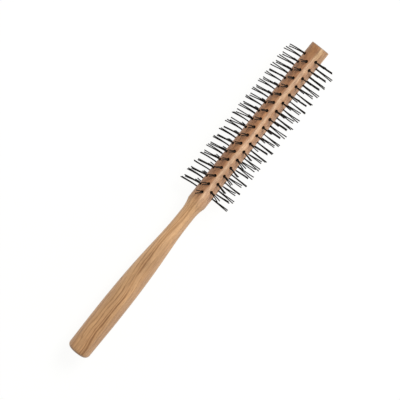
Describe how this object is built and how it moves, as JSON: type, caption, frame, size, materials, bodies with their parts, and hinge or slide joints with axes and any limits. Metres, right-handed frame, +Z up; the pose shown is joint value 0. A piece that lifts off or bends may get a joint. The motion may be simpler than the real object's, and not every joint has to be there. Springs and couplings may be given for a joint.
{
  "type": "round barrel hair brush",
  "caption": "Slim round hair brush: one turned wooden barrel and handle, with widely spaced rows of fine black nylon tufts standing out all round the barrel.",
  "frame": {"origin": "centre of the flat butt face at the end of the handle, on the turning axis", "axes": "+X along the turning axis towards the barrel's tip, +Z up, with a hair channel between two rows of tufts facing +Z"},
  "size_m": [0.24, 0.035, 0.0346],
  "materials": {
    "turned_wood": "satin, lightly lacquered pale hardwood with straight grain along the brush",
    "black_nylon": "semi-gloss black nylon filament",
    "anchor_wire": "dull flat brass wire, hidden in the tuft holes"
  },
  "bodies": {
    "root": {"wooden_body": "turned_wood", "tuft_ring_a01": "black_nylon", "tuft_ring_a02": "black_nylon", "tuft_ring_a03": "black_nylon", "tuft_ring_a04": "black_nylon", "tuft_ring_a05": "black_nylon", "tuft_ring_a06": "black_nylon", "tuft_ring_a07": "black_nylon", "tuft_ring_a08": "black_nylon", "tuft_ring_a09": "black_nylon", "tuft_ring_a10": "black_nylon", "tuft_ring_a11": "black_nylon", "tuft_ring_a12": "black_nylon", "tuft_ring_a13": "black_nylon", "tuft_ring_a14": "black_nylon", "tuft_ring_a15": "black_nylon", "tuft_ring_a16": "black_nylon", "tuft_ring_a17": "black_nylon", "tuft_ring_b01": "black_nylon", "tuft_ring_b02": "black_nylon", "tuft_ring_b03": "black_nylon", "tuft_ring_b04": "black_nylon", "tuft_ring_b05": "black_nylon", "tuft_ring_b06": "black_nylon", "tuft_ring_b07": "black_nylon", "tuft_ring_b08": "black_nylon", "tuft_ring_b09": "black_nylon", "tuft_ring_b10": "black_nylon", "tuft_ring_b11": "black_nylon", "tuft_ring_b12": "black_nylon", "tuft_ring_b13": "black_nylon", "tuft_ring_b14": "black_nylon", "tuft_ring_b15": "black_nylon", "tuft_ring_b16": "black_nylon", "tuft_ring_b17": "black_nylon"}
  },
  "joints": []
}
